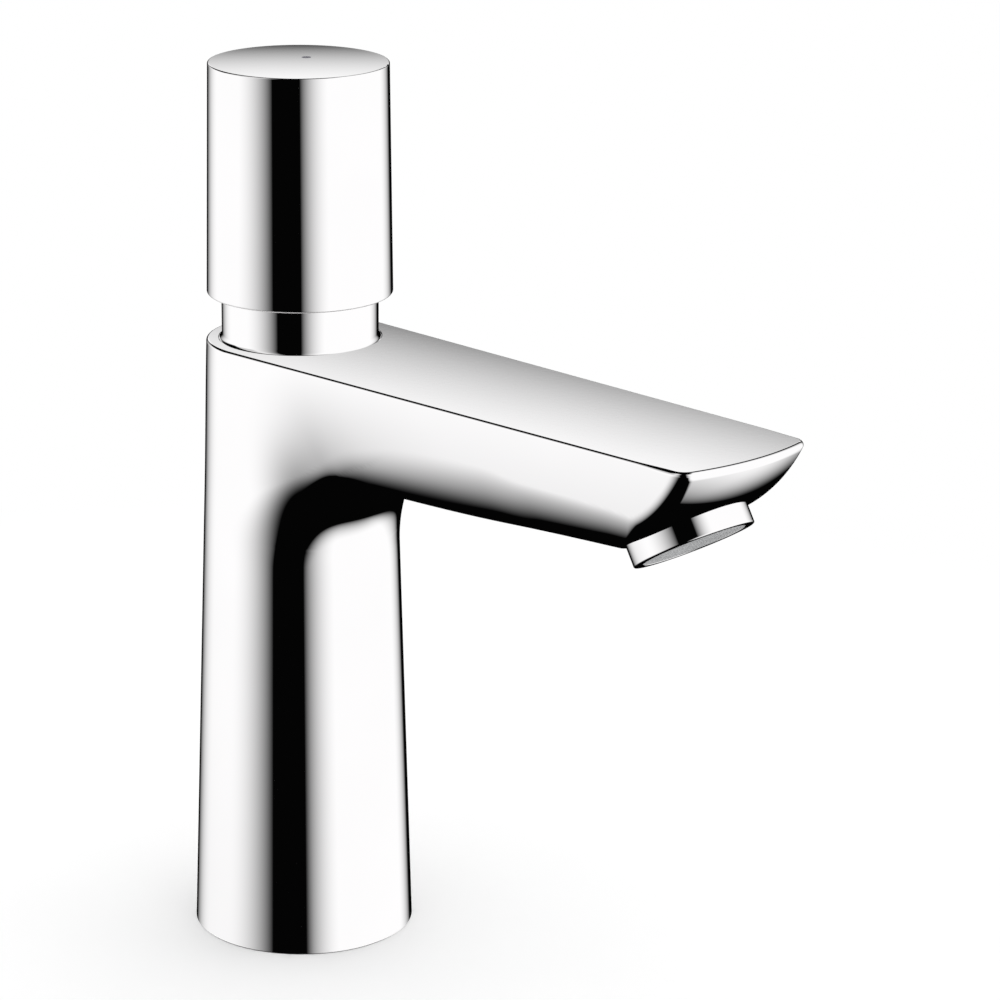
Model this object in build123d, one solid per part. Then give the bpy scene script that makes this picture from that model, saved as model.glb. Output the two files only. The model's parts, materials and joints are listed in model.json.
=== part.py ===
from build123d import *
import math
import os

os.makedirs("parts", exist_ok=True)

# Push timed basin tap. Millimetres, +Z up.
# Origin: on the column's axis, in the plane of its base (the top of the deck).
# The spout points towards -Y. The shapes are drawn with the spout along +X and
# turned a quarter turn about Z when they are written.

# ---------------------------------------------------------------- outer shape
BASE_R = 23.0            # column radius at the deck
NECK_TOP_Z = 126.92      # height of the flat top above the axis
COLUMN_TOP_R = 18.95     # column radius just under the flat top
TOP_RISE = 0.012         # rise of the flat top per mm of reach
OUT_R = 19.45            # rear rounding of the flat top, seen from above
OUT_SHIFT = 0.5          # its centre, forward of the axis
SIDE_TAPER = 1.21        # degrees, each long side of the spout
TIP_X = 126.7            # reach of the tip edge
TIP_ARC_R = 55.0         # tip edge, seen from above
WALL_LEAN = 5.0          # degrees, the spout's sides lean in downwards
UNDER_X, UNDER_Z = 40.3, 101.4   # a point of the spout's underside
UNDER_SLOPE = 4.3        # degrees, rise of the underside
BEAK_X, BEAK_Z = 110.1, 111.2    # where the outlet's axis meets the beak
BEAK_SLOPE = 31.5        # degrees, slope of the beak at the outlet
BEAK_ARC_R = 52.0        # beak curve from there to the tip edge
BEAK_ROUND = 6.0         # round the beak, between it and the sides and underside
LOWER_ROUND = 12.0       # lower long edges of the spout
JOIN_ROUND = 12.0        # inner corner between column and spout
EDGE_R = 0.5             # edge of the flat top

# ---------------------------------------------------------------- push cap
CAP_BOT_Z = 136.30
CAP_TOP_Z = 183.42
CAP_BOT_R = 18.93
CAP_TOP_R = 18.25
CAP_IN_R = 16.5
CAP_ROOF = 3.2
TRAVEL = 7.0
DOT_X, DOT_Y, DOT_R = -1.9, 3.7, 1.0
GRUB_Z = 177.0

# ---------------------------------------------------------------- neck sleeve
SLEEVE_R = 15.97
SLEEVE_IN_R = 13.4
SLEEVE_TOP_Z = 166.7
FOOT_R = 16.6
RIM_R = 16.75
THREAD_R = 14.9

# ---------------------------------------------------------------- cartridge
CHAMBER_R = 14.0
CHAMBER_FLOOR_Z = 66.0
STEP_Z = 118.5
STEM_R = 3.0
FIT = 0.05

# ---------------------------------------------------------------- inlet side
TAIL_R = 10.4775         # G 1/2 outside thread
TAIL_BORE_R = 7.25
TAIL_BOTTOM_Z = -52.0
SOCKET_R = 9.5
SOCKET_TOP_Z = 16.0
DECK = 20.0              # deck thickness that the nut is drawn clamped under

# ---------------------------------------------------------------- outlet
AER_TILT = BEAK_SLOPE
AER_R = 11.7
AER_OUT = 3.1            # how far the ring stands out of the beak
AER_BORE_R = 10.9
AER_FACE_R = 10.2


def cyl(r, z0, z1):
    return Pos(0, 0, z0) * Cylinder(r, z1 - z0, align=(Align.CENTER, Align.CENTER, Align.MIN))


def ring(ro, ri, z0, z1):
    return cyl(ro, z0, z1) - cyl(ri, z0 - 1, z1 + 1)


def cone(r0, r1, z0, z1):
    return Pos(0, 0, z0) * Cone(r0, r1, z1 - z0, align=(Align.CENTER, Align.CENTER, Align.MIN))


def turned(points):
    """A solid of revolution about Z from (radius, height) points."""
    wire = Polyline(*[(r, 0, z) for r, z in points], close=True)
    return revolve(make_face(wire), Axis.Z, 360)


def one(shape):
    """The largest solid of a result that should be one solid."""
    solids = shape.solids()
    return max(solids, key=lambda s: s.volume) if len(solids) > 1 else solids[0]


def try_fillet(solid, pick, radii, label):
    """Round the picked edges with the first radius that gives a valid solid."""
    for r in radii:
        try:
            edges = pick(solid)
            if not edges:
                print(label, "no edges")
                return solid
            done = fillet(edges, r)
            done = one(done)
            if done.is_valid and done.volume > 0:
                print(label, "radius", r, "edges", len(edges))
                return done
        except Exception as err:
            print(label, r, "failed:", str(err)[:60])
    return solid


SPIN = Rot(0, 0, -90)


def out(name, *solids):
    made = []
    for s in solids:
        for k in (SPIN * s).solids():
            made.append(k)
    shape = made[0] if len(made) == 1 else Compound(children=made)
    export_step(shape, "parts/" + name + ".step")
    return shape


def rad(d):
    return math.radians(d)


# ================================================================= body
# Spout: a tapering bar with leaning sides and rounded lower edges, cut at its
# end by a bowl turned about the centre of the tip's arc.
tau = rad(SIDE_TAPER)
lean = math.tan(rad(WALL_LEAN))
us = math.tan(rad(UNDER_SLOPE))
bs = math.tan(rad(BEAK_SLOPE))


def under(x):
    return UNDER_Z + us * (x - UNDER_X)


def top(x):
    return NECK_TOP_Z + TOP_RISE * x


def side_w(x):
    """Half the width of the flat top at a reach of x."""
    return OUT_R / math.cos(tau) - (x - OUT_SHIFT) * math.tan(tau)


# seen from above: a round rear end and two long sides that taper; the sides lean in downwards
Z_DRAW = NECK_TOP_Z + 5.0
END_X = TIP_X + 10.0
orr = OUT_R + (Z_DRAW - NECK_TOP_Z) * lean
tx, ty = OUT_SHIFT + orr * math.sin(tau), orr * math.cos(tau)
ye = orr / math.cos(tau) - (END_X - OUT_SHIFT) * math.tan(tau)
plan = make_face(
    Wire(
        [
            ThreePointArc((tx, -ty), (OUT_SHIFT - orr, 0), (tx, ty)),
            Line((tx, ty), (END_X, ye)),
            Line((END_X, ye), (END_X, -ye)),
            Line((END_X, -ye), (tx, -ty)),
        ]
    )
)
bar = extrude(Pos(0, 0, Z_DRAW) * plan, amount=-45.0, taper=WALL_LEAN)
below = extrude(
    make_face(Plane.XZ * Polyline((-60, under(-60)), (180, under(180)), (180, 40), (-60, 40), close=True)),
    amount=60,
    both=True,
)
bar = one(bar - below)


def long_lower_edges(s):
    got = []
    for e in s.edges():
        c, b = e.center(), e.bounding_box()
        if b.max.X < END_X + 1 and b.size.X > 10 and abs(c.Z - under(c.X)) < 0.8 and b.max.Z < 112:
            got.append(e)
    return got


bar = try_fillet(bar, long_lower_edges, (LOWER_ROUND, 11, 10, 9, 8), "lower round")
print("bar", round(bar.volume), bar.is_valid, len(bar.faces()))

SKIN = 0.05


def section(x):
    """The spout cut across at a reach of x, a hair larger than the bar."""
    z1, z0 = top(x) + 5.0, under(x) - SKIN
    a = side_w(x) + 5.0 * lean + SKIN
    b = side_w(x) - (top(x) - z0) * lean + SKIN
    sk = make_face(Plane.YZ.offset(x) * Polyline((-a, z1), (a, z1), (b, z0), (-b, z0), close=True))
    low = [v for v in sk.vertices() if v.Z < z0 + 0.01]
    return fillet(low, LOWER_ROUND + SKIN)


nose = loft([section(OUT_SHIFT), section(TIP_X + 6.0)], ruled=True)

arc_c = TIP_X - TIP_ARC_R
n = (-math.sin(rad(BEAK_SLOPE)), math.cos(rad(BEAK_SLOPE)))
cx, cz = BEAK_X + BEAK_ARC_R * n[0], BEAK_Z + BEAK_ARC_R * n[1]
end_a = math.acos((TIP_X - cx) / BEAK_ARC_R)                    # below the horizontal
mid_a = (end_a + rad(90 - BEAK_SLOPE)) / 2


def on_beak(a):
    return (cx + BEAK_ARC_R * math.cos(a) - arc_c, cz - BEAK_ARC_R * math.sin(a))


p_end, p_mid, p_start = on_beak(end_a), on_beak(mid_a), (BEAK_X - arc_c, BEAK_Z)
low_x = 3.0
p_low = (low_x, BEAK_Z - bs * (BEAK_X - arc_c - low_x))
bowl = make_face(
    Wire(
        [
            Line((0, p_low[1]), p_low),
            Line(p_low, p_start),
            ThreePointArc(p_start, p_mid, p_end),
            Line(p_end, (p_end[0] + 2.0, 140)),
            Line((p_end[0] + 2.0, 140), (0, 140)),
            Line((0, 140), (0, p_low[1])),
        ]
    )
)
bowl = Pos(arc_c, 0, 0) * Rot(0, 0, 180) * revolve(Plane.XZ * bowl, Axis.Z, 360)
print("tip height on the bowl", round(p_end[1], 2), "flat top there", round(top(TIP_X), 2))
front = nose & (Pos(arc_c + 60, 0, 110) * Box(120, 100, 80)) & bowl
rear = nose & (Pos(arc_c - 60, 0, 110) * Box(120, 100, 80))
nose = one((front + rear).clean())
print("nose", round(nose.volume), nose.is_valid, len(nose.faces()))


def beak_edges(s):
    """The chain where the bowl meets the bar, from one end of the tip edge to the other."""
    got = []
    for e in s.edges():
        c, b = e.center(), e.bounding_box()
        if c.X > 96 and c.Z < 127.0 and b.size.length > 1.0:
            if b.size.X > 28 or (abs(c.Y) < 1 and (b.size.Y < 2 or b.size.Y > 12)):
                continue
            got.append(e)
    return got


nose = try_fillet(nose, beak_edges, (BEAK_ROUND, 5, 4, 3, 2), "beak round")
arm = one(bar - (Pos(140, 0, 110) * Box(100, 100, 90) - nose))
print("arm", round(arm.volume), arm.is_valid, len(arm.faces()))

slope = (BASE_R - COLUMN_TOP_R) / NECK_TOP_Z
column = cone(BASE_R, BASE_R - slope * (NECK_TOP_Z + 5), 0, NECK_TOP_Z + 5)
above = extrude(
    make_face(Plane.XZ * Polyline((-60, top(-60)), (160, top(160)), (160, 170), (-60, 170), close=True)),
    amount=60,
    both=True,
)
body = one((column + arm) - above)
print("body blank", round(body.volume), body.is_valid, len(body.faces()))


def join_edges(s):
    got = []
    for e in s.edges():
        c = e.center()
        b = e.bounding_box()
        # only the seam under the spout and up its sides
        if 0 < c.X < 24 and c.Z < 122 and b.size.Z > 0.05 and b.max.Z < 126 and b.min.Z > 92:
            got.append(e)
    return got


body = try_fillet(body, join_edges, (JOIN_ROUND, 10, 9, 8, 6, 5, 4), "inner corner")


def top_edges(s):
    got = []
    for e in s.edges():
        c = e.center()
        b = e.bounding_box()
        if b.size.Z < 1.5 and abs(c.Z - top(c.X)) < 0.3 and b.min.Z > NECK_TOP_Z - 0.5:
            got.append(e)
    return got


body = try_fillet(body, top_edges, (EDGE_R, 0.45, 0.4, 0.35, 0.3, 0.25, 0.2), "top edge")

# --- hollows
# cartridge chamber from above
body = body - cyl(CHAMBER_R, CHAMBER_FLOOR_Z, 140) - cyl(THREAD_R + 0.1, STEP_Z, 140) - cyl(RIM_R, 126.32, 140)
# waterway up the column
body = body - cyl(7.0, 10, CHAMBER_FLOOR_Z + 5) - cyl(SOCKET_R, -5, SOCKET_TOP_Z)
# cored space round the waterway, open at the base
core = turned([(12.4, -1), (BASE_R - 3.2, -1), (BASE_R - 3.2 - slope * 58, 58), (16.0, 61), (12.4, 58)])
body = body - core
# water channel along the spout
ch_z0, ch_z1 = 106.4, 118.6
duct = Polyline(
    (8, ch_z0 - 0.4), (60, ch_z0 + 2.2), (103, ch_z0 + 4.2), (112, ch_z1 - 1.2), (112, ch_z1 + 1.6), (60, ch_z1 + 1.2), (8, ch_z1 - 0.8), close=True
)
duct = extrude(make_face(Plane.XZ * duct), amount=10.5, both=True)
duct = try_fillet(duct, lambda s: s.edges().filter_by(Axis.Y) + [], (2.5, 2, 1.5), "channel corners")
duct = one(duct)
duct = try_fillet(
    duct,
    lambda s: [e for e in s.edges() if abs(abs(e.center().Y) - 10.5) < 0.01],
    (2.0, 1.5, 1.0),
    "channel edges",
)
body = body - (duct - cyl(CHAMBER_R - 2.0, 60, 140))
# outlet socket, square to the beak
aer_at = Location((BEAK_X, 0, BEAK_Z), (0, -AER_TILT, 0))   # its -Z points out of the beak
body = body - aer_at * cyl(AER_BORE_R, -8.0, 9.5) - aer_at * cyl(8.6, 4.0, 12.0)
body = one(body)
print("body", round(body.volume), body.is_valid, len(body.faces()))
out("body", body)

# ================================================================= neck and cartridge (fixed)
# sleeve screwed into the body; its foot is hollowed to the sleeve's radius
foot = [(SLEEVE_IN_R, 121.3), (THREAD_R, 121.3), (THREAD_R, 126.37), (FOOT_R, 126.37), (FOOT_R, 127.07)]
for k in range(1, 7):
    a = rad(15 * k)
    foot.append((FOOT_R - (FOOT_R - SLEEVE_R) * math.sin(a), 127.07 + 1.0 * (1 - math.cos(a))))
foot += [
    (SLEEVE_R, 158.0),
    (SLEEVE_R - 0.8, 158.0),
    (SLEEVE_R - 0.8, 163.0),
    (SLEEVE_R, 163.0),
    (SLEEVE_R, SLEEVE_TOP_Z - 0.4),
    (SLEEVE_R - 0.4, SLEEVE_TOP_Z),
    (SLEEVE_IN_R, SLEEVE_TOP_Z),
]
neck_sleeve = turned(foot)
out("neck_sleeve", neck_sleeve)
# split plastic ring that guides the cap on the sleeve
guide_ring = ring(CAP_IN_R - FIT, SLEEVE_R - 0.78, 158.05, 162.95) - Pos(-16, 0, 160.5) * Box(4, 0.8, 8)
out("guide_ring", one(guide_ring))

# cartridge housing: seat in the lower half, damping cylinder in the upper half
housing = turned(
    [
        (9.0, 67.0), (13.9, 67.0), (13.9, 73.0), (12.1, 73.0), (12.1, 75.2), (13.9, 75.2), (13.9, 78.0), (12.1, 78.0),
        (12.1, 80.2), (13.9, 80.2), (13.9, 84.5), (12.4, 86.0), (12.4, STEP_Z + 0.02), (14.8, STEP_Z + 0.02), (14.8, 120.5),
        (10.0, 120.5), (10.0, 111.3), (9.5, 111.3), (9.5, 98.0), (STEM_R + FIT, 98.0), (STEM_R + FIT, 96.0), (8.6, 96.0),
        (8.6, 86.2), (5.2, 86.2), (5.2, 84.4), (6.2, 84.2), (9.0, 84.2),
    ]
)
port = Pos(0, 0, 91.0) * (Box(40, 5.0, 6.5) + Rot(0, 0, 60) * Box(40, 5.0, 6.5) + Rot(0, 0, 120) * Box(40, 5.0, 6.5))
housing = housing - (port - cyl(6.0, 80, 100))
housing = housing - Pos(6.4, 0, 0) * cyl(0.62, 95.0, 99.0)
out("cartridge_housing", one(housing))
out("bonnet", ring(9.95, STEM_R + FIT, 111.35, 120.5) - ring(4.9, 1, 114.0, 116.3))
out("stem_seal", turned([(STEM_R + 0.02, 114.2), (4.85, 114.2), (4.85, 116.1), (STEM_R + 0.02, 116.1)]))
out("clamp_washer", ring(14.7, 10.4, 120.52, 121.28))
out("metering_pin", Pos(6.4, 0, 0) * cyl(0.6, 95.2, 110.9))
o_ring = Torus(13.04, 0.92)
out("cartridge_o_rings", Pos(0, 0, 74.1) * o_ring, Pos(0, 0, 79.1) * o_ring)
out("seat_gasket", ring(13.6, 9.0, CHAMBER_FLOOR_Z + 0.02, 66.98))
strainer = ring(8.95, 0.5, 67.2, 68.2)
holes = None
for rr, cnt in ((3.0, 6), (5.4, 12), (7.6, 18)):
    for k in range(cnt):
        a = 2 * math.pi * k / cnt
        h = Pos(rr * math.cos(a), rr * math.sin(a), 0) * cyl(0.8, 66, 69)
        holes = h if holes is None else holes + h
out("inlet_strainer", one(strainer - holes))

# ================================================================= push cap and stem (moving)
cap = turned(
    [
        (CAP_IN_R, CAP_BOT_Z + 0.2), (CAP_IN_R + 0.3, CAP_BOT_Z), (CAP_BOT_R - 0.5, CAP_BOT_Z), (CAP_BOT_R, CAP_BOT_Z + 0.5),
        (CAP_TOP_R, CAP_TOP_Z - 0.6), (CAP_TOP_R - 0.25, CAP_TOP_Z - 0.22), (CAP_TOP_R - 0.8, CAP_TOP_Z - 0.06),
        (0, CAP_TOP_Z), (0, CAP_TOP_Z - CAP_ROOF), (CAP_IN_R, CAP_TOP_Z - CAP_ROOF),
    ]
)
grub_hole = Pos(-CAP_TOP_R + 3.0, 0, GRUB_Z) * Rot(0, 90, 0) * Cylinder(2.05, 9)
cap = cap - grub_hole
cap = cap - Pos(DOT_X, DOT_Y, 0) * cyl(DOT_R, CAP_TOP_Z - 0.7, CAP_TOP_Z + 1)
out("push_cap", one(cap))
out("cap_marker", Pos(DOT_X, DOT_Y, 0) * cyl(DOT_R - 0.02, CAP_TOP_Z - 0.68, CAP_TOP_Z - 0.03))
carrier = cyl(CAP_IN_R - 0.03, 174.0, CAP_TOP_Z - CAP_ROOF - 0.02) + cyl(6.2, 150.0, 175.0)
carrier = carrier - cyl(STEM_R + 0.02, 140, 176.0) - ring(14.6, 8.4, 172.0, 177.5)
for k in range(6):
    carrier = carrier + (Rot(0, 0, 60 * k + 30) * Pos(11.0, 0, 175.9) * Box(7.6, 1.4, 3.7))
carrier = one(carrier) - Pos(-CAP_TOP_R + 3.0, 0, GRUB_Z) * Rot(0, 90, 0) * Cylinder(2.05, 6.5)
out("cap_carrier", one(carrier))
grub = Pos(-15.6, 0, GRUB_Z) * Rot(0, 90, 0) * (Cylinder(2.0, 4.2) - Pos(0, 0, -1.6) * extrude(RegularPolygon(1.15, 6), amount=2.0, both=True))
out("cap_grub_screw", one(grub))
stem = cyl(STEM_R, 86.0, 175.9) + cyl(2.4, 75.6, 86.2)
out("push_stem", one(stem))
piston = turned([(STEM_R + 0.01, 106.0), (7.6, 106.0), (7.6, 108.2), (9.3, 108.2), (9.3, 111.0), (STEM_R + 0.01, 111.0)])
piston = piston - Pos(6.4, 0, 0) * cyl(0.7, 105, 112)
out("piston", one(piston))
out("piston_lip_seal", turned([(7.62, 106.2), (9.0, 105.6), (9.44, 105.6), (9.3, 108.15), (7.62, 108.15)]))
out("valve_disc", turned([(2.42, 78.6), (7.6, 78.6), (7.6, 81.0), (7.1, 81.6), (2.42, 81.6)]))
out("valve_washer", ring(7.4, 2.42, 81.62, 84.0))
nut = extrude(Pos(0, 0, 76.0) * RegularPolygon(4.2, 6), amount=2.58) - cyl(2.42, 70, 80)
out("valve_nut", one(nut))

# return spring between bonnet and carrier
SPR_R, SPR_WIRE, SPR_Z0, SPR_Z1, SPR_TURNS = 5.0, 0.6, 121.2, 149.3, 9
pitch = (SPR_Z1 - SPR_Z0) / SPR_TURNS
helix = Helix(pitch=pitch, height=SPR_Z1 - SPR_Z0, radius=SPR_R)
helix = Pos(0, 0, SPR_Z0) * helix
start = helix @ 0
tangent = helix % 0
section = Plane(origin=start, z_dir=tangent) * Circle(SPR_WIRE)
spring = sweep(section, path=helix, is_frenet=True)
out("return_spring", one(spring))

# ================================================================= outlet
def aer(shape):
    return aer_at * shape


aer_face = -AER_OUT
aer_ring = turned(
    [
        (AER_FACE_R, aer_face), (AER_R - 0.25, aer_face), (AER_R, aer_face + 0.25), (AER_R, aer_face + 2.6 + 0.5), (10.8, aer_face + 3.1),
        (10.8, 5.2), (9.4, 5.2), (9.4, aer_face + 2.2), (AER_FACE_R, aer_face + 2.2),
    ]
)
out("aerator_ring", aer(aer_ring))
# plastic flow straightener: a rim with a square grid
rim = ring(10.1, 9.2, aer_face + 0.5, aer_face + 2.15)
grid = None
for k in range(-4, 5):
    c = 2.0 * k
    half = math.sqrt(max(9.3 ** 2 - c * c, 1))
    bar = Pos(c, 0, aer_face + 1.3) * Box(0.45, 2 * half, 1.5)
    bar2 = Pos(0, c, aer_face + 1.3) * Box(2 * half, 0.45, 1.5)
    grid = bar + bar2 if grid is None else grid + bar + bar2
insert = one((rim + grid).clean())
out("aerator_insert", aer(insert))
mixer = cyl(9.35, aer_face + 2.4, 4.6) - cyl(8.0, aer_face + 3.6, 3.6)
jets = None
for rr, cnt in ((3.0, 6), (6.0, 12)):
    for k in range(cnt):
        a = 2 * math.pi * k / cnt
        h = Pos(rr * math.cos(a), rr * math.sin(a), 0) * cyl(0.7, -5, 6)
        jets = h if jets is None else jets + h
out("flow_regulator", aer(one(mixer - jets)))
out("aerator_gasket", aer(ring(10.6, 8.4, 5.25, 6.9)))

# ================================================================= below the deck
tail_pts = [(TAIL_BORE_R, TAIL_BOTTOM_Z), (TAIL_R - 0.9, TAIL_BOTTOM_Z), (TAIL_R, TAIL_BOTTOM_Z + 0.9), (TAIL_R, -34.0), (TAIL_R - 0.5, -34.0), (TAIL_R - 0.5, -33.4), (TAIL_R, -33.4), (TAIL_R, -1.2), (SOCKET_R + 2.2, -1.2), (SOCKET_R + 2.2, -0.05), (SOCKET_R - 0.02, -0.05), (SOCKET_R - 0.02, 12.5), (TAIL_BORE_R, 12.5)]
tail = turned(tail_pts)
out("inlet_tail", one(tail))
out("tail_seal", ring(SOCKET_R - 0.1, 7.3, 12.6, 15.9))
# foam ring under the base, in the cored space, level with the base
out("base_seal", ring(BASE_R - 3.4, 12.6, 0.02, 3.0))
wz = -DECK
out("rubber_washer", ring(19.0, TAIL_R + 0.4, wz - 3.0, wz))
out("steel_washer", ring(18.0, TAIL_R + 0.4, wz - 4.6, wz - 3.02))
nut_b = extrude(Pos(0, 0, wz - 12.6) * RegularPolygon(15.6, 6), amount=7.95) - cyl(TAIL_R + 0.02, -60, 0)
out("backnut", one(nut_b))
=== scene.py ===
import bpy
import json
import math
import numpy as np
from mathutils import Matrix, Vector


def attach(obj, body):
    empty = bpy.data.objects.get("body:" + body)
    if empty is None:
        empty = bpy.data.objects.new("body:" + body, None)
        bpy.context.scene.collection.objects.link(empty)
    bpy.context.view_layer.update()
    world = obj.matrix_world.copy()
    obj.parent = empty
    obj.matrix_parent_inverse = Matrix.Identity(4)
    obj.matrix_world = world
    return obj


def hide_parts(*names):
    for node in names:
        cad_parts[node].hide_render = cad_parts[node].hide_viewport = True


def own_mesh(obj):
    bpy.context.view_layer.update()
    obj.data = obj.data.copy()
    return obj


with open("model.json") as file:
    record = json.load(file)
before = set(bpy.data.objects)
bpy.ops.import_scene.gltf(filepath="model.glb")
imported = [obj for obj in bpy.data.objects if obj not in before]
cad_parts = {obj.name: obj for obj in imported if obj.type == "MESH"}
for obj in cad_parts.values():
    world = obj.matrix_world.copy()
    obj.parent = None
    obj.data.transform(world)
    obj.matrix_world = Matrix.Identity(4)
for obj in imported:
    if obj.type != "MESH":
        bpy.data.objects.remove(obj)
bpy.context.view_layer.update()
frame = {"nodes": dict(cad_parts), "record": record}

# ------------------------------------------------------------------ shape of the body
# Drawn in millimetres with x = reach of the spout, y = across it, z = up from the base.
ZT, RISE = 126.92, 0.012          # the flat top above the axis, and its rise per mm of reach
OUT_R, OUT_SH, TAU = 19.45, 0.5, 1.21   # rear rounding of the top, its centre, and the taper of the long sides
CB, CK = 22.9, 0.0313             # column radius at the base, and its loss per mm of height
UX = 40.3
BX = 110.1                        # reach of the outlet's axis at the beak
TIPX, TIPC = 126.75, 71.7          # reach of the tip edge, and the centre of its arc
EDGE0, EDGE1 = 0.52, 0.9          # edge of the flat top, along the sides and at the tip
LEAN, SIDE_R, SIDE_FAR = 2.465, 45.222, 3.603   # lean of the side walls at the top edge, their radius, and its growth along the spout
UZ, US = 101.275, 3.65           # height and slope of the underside
RB, SB = 17.3, 28.032           # inner bend, and the length over which the walls open out there
KS, UD, UK, ME = 1.0, 0.927, 1.8, 2.531   # lower rounding round the bend
XF, XL, RC, CR = 8.822, 89.624, 6.141, 6.595   # lower corner and crown out along the spout
RW, RV, DB = 3.527, 2.483, 10.137   # corner between side wall and beak
RT, BZ, BS = 5.395, 111.301, 26.341   # the beak: meeting with the underside, start height, slope
ZE, TD = 127.45, -14.0              # height at which the beak reaches the tip, and its plan shift with depth


def ss(t):
    t = np.clip(t, 0, 1)
    return t * t * (3 - 2 * t)


def s5(t):
    t = np.clip(t, 0, 1)
    return t * t * t * (t * (6 * t - 15) + 10)


def rint(a, b, r, m=2.0):
    """Rounded meeting of two fields that are negative inside."""
    p = np.maximum(a + r, 1e-12)
    q = np.maximum(b + r, 1e-12)
    return (p**m + q**m) ** (1 / m) + np.minimum(np.maximum(a + r, b + r), 0) - r


def ufil(a, b, c, r):
    """Rounded meeting of two true distances, c = cosine between their normals."""
    c = np.clip(c, -0.999, 0.9999)
    s2 = 1 - c * c
    p, q = r + a, r + b
    al, be = (p - c * q) / s2, (q - c * p) / s2
    d = np.sqrt(np.maximum((p * p + q * q - 2 * c * p * q) / s2, 1e-18))
    return np.where((al > 0) & (be > 0), d - r, np.maximum(a, b))


def bump(z):
    return ss((z - 95.0) / (ZT - 95.0))


def col_r(z):
    return CB - CK * z + (OUT_R - (CB - CK * ZT)) * bump(z)


def far(x):
    """0 at the bend, 1 out along the spout."""
    return s5((x - XF) / XL)


def drop(h, x):
    """How far the side wall has drawn in at a depth of h below the flat top."""
    r = SIDE_R * (1 + (SIDE_FAR - 1) * far(x))
    sl = r * math.sin(math.radians(LEAN))
    return r * math.cos(math.radians(LEAN)) - np.sqrt(np.maximum(r * r - np.clip(h + sl, -r, 0.9 * r) ** 2, 1e-6))


US_T, US_C, US_S = math.tan(math.radians(US)), math.cos(math.radians(US)), math.sin(math.radians(US))
N1 = math.sqrt(1 + CK * CK)
_b1, _b2 = CB + RB * N1, UZ - US_T * UX - RB / US_C
SC = (_b1 - CK * _b2) / (1 + CK * US_T)      # centre of the inner bend
ZC = (US_T * _b1 + _b2) / (1 + CK * US_T)
F0, F1 = -math.atan(CK), math.pi / 2 - math.radians(US)


def half_width(x, z, u):
    c = OUT_SH * bump(z)
    g = s5(u / 0.7)
    be = s5((x - c) / SB) * s5(u / UD)
    x0 = np.maximum(x - OUT_SH, 0)
    tap = math.tan(math.radians(TAU)) * (x0 * x0 / (x0 + 1.0))
    return OUT_R - g * tap - ((1 - be) * (OUT_R - col_r(z)) + be * drop(ZT + RISE * x - z, x))


def inner_line(x, z):
    """Distance inside the line of column front, bend and underside, the place in the bend, and the nearest point on it."""
    q1 = (CB - CK * z - x) / N1
    q2 = (z - UZ - US_T * (x - UX)) * US_C
    vx, vz = x - SC, z - ZC
    u = (np.arctan2(vz, -vx) - F0) / (F1 - F0)
    rho = np.sqrt(vx * vx + vz * vz) + 1e-9
    fan = (u > 0) & (u < 1)
    q = np.where(fan, rho - RB, np.maximum(q1, q2))
    uu = np.where(fan, u, np.where(q1 > q2, 0.0, 1.0))
    xb = np.where(fan, SC + vx / rho * RB, np.where(uu < 0.5, x + q1 / N1, x + q2 * US_S))
    zb = np.where(fan, ZC + vz / rho * RB, np.where(uu < 0.5, z + q1 * CK / N1, z - q2 * US_C))
    return q, uu, xb, zb


_cx, _cz = TIPX - BX, ZE - BZ
BR = (_cx * _cx + _cz * _cz) / (2 * (-_cx * math.sin(math.radians(BS)) + _cz * math.cos(math.radians(BS))))


def beak_reach(x, y, shift=0.0):
    """Reach measured square to the rounded tip."""
    tc = TIPC + shift
    xm = np.maximum(x - tc, 0)
    return tc + np.sqrt(xm * xm + y * y) + 1e-9


def beak(x, y, z):
    X = beak_reach(x, y, TD * (ZT - z) / 20.0)
    b = math.radians(BS)
    sb, cb = math.sin(b), math.cos(b)
    cx, cz = BX - BR * sb, BZ + BR * cb
    t = (X - BX) * cb + (z - BZ) * sb
    d = np.sqrt((X - cx) ** 2 + (z - cz) ** 2) + 1e-9
    return (
        np.where(t > 0, d - BR, (X - BX) * sb - (z - BZ) * cb),
        np.where(t > 0, (X - cx) / d, sb),
        np.where(t > 0, (z - cz) / d, -cb),
    )


def wall(x, y, z):
    ay = np.abs(y)
    q, u, xb, zb = inner_line(x, z)
    a, ab = half_width(x, z, u), half_width(xb, zb, u)
    fr = far(x)
    # the underside is crowned out along the spout
    q0 = -q + CR * fr * np.minimum((ay / ab) ** 2, 1.6)
    g = q0
    mm = np.zeros_like(x)
    m = x > 70
    if m.any():
        bk, nx, nz = beak(x[m], y[m], z[m])
        g = g.copy()
        g[m] = ufil(ufil(q0[m], bk, US_S * nx - US_C * nz, RT), beak_reach(x[m], y[m]) - TIPX, nx, 0.8)
        mm[m] = ss(0.5 + (bk + q[m]) / (2 * DB)) * s5((x[m] - 70.0) / 14.0)
    uk = s5(np.clip(u, 1e-9, 1) ** UK)
    r = ab * (1 - uk * (1 - KS)) * (1 - fr) + RC * fr
    r = r + (RW + (RV - RW) * ss((x - 103.0) / 17.0) - r) * mm
    f = rint(ay - a, g, r, 2.0 + (ME - 2.0) * uk * (1 - fr) * (1 - mm))
    c0 = OUT_SH * bump(z)
    return np.where(x < c0, np.sqrt((x - c0) ** 2 + y * y) - col_r(z), f)


def edge_r(x):
    return EDGE0 + (EDGE1 - EDGE0) * ss((x - 112.0) / 9.0)


def top_z(x):
    return ZT + RISE * x


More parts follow.
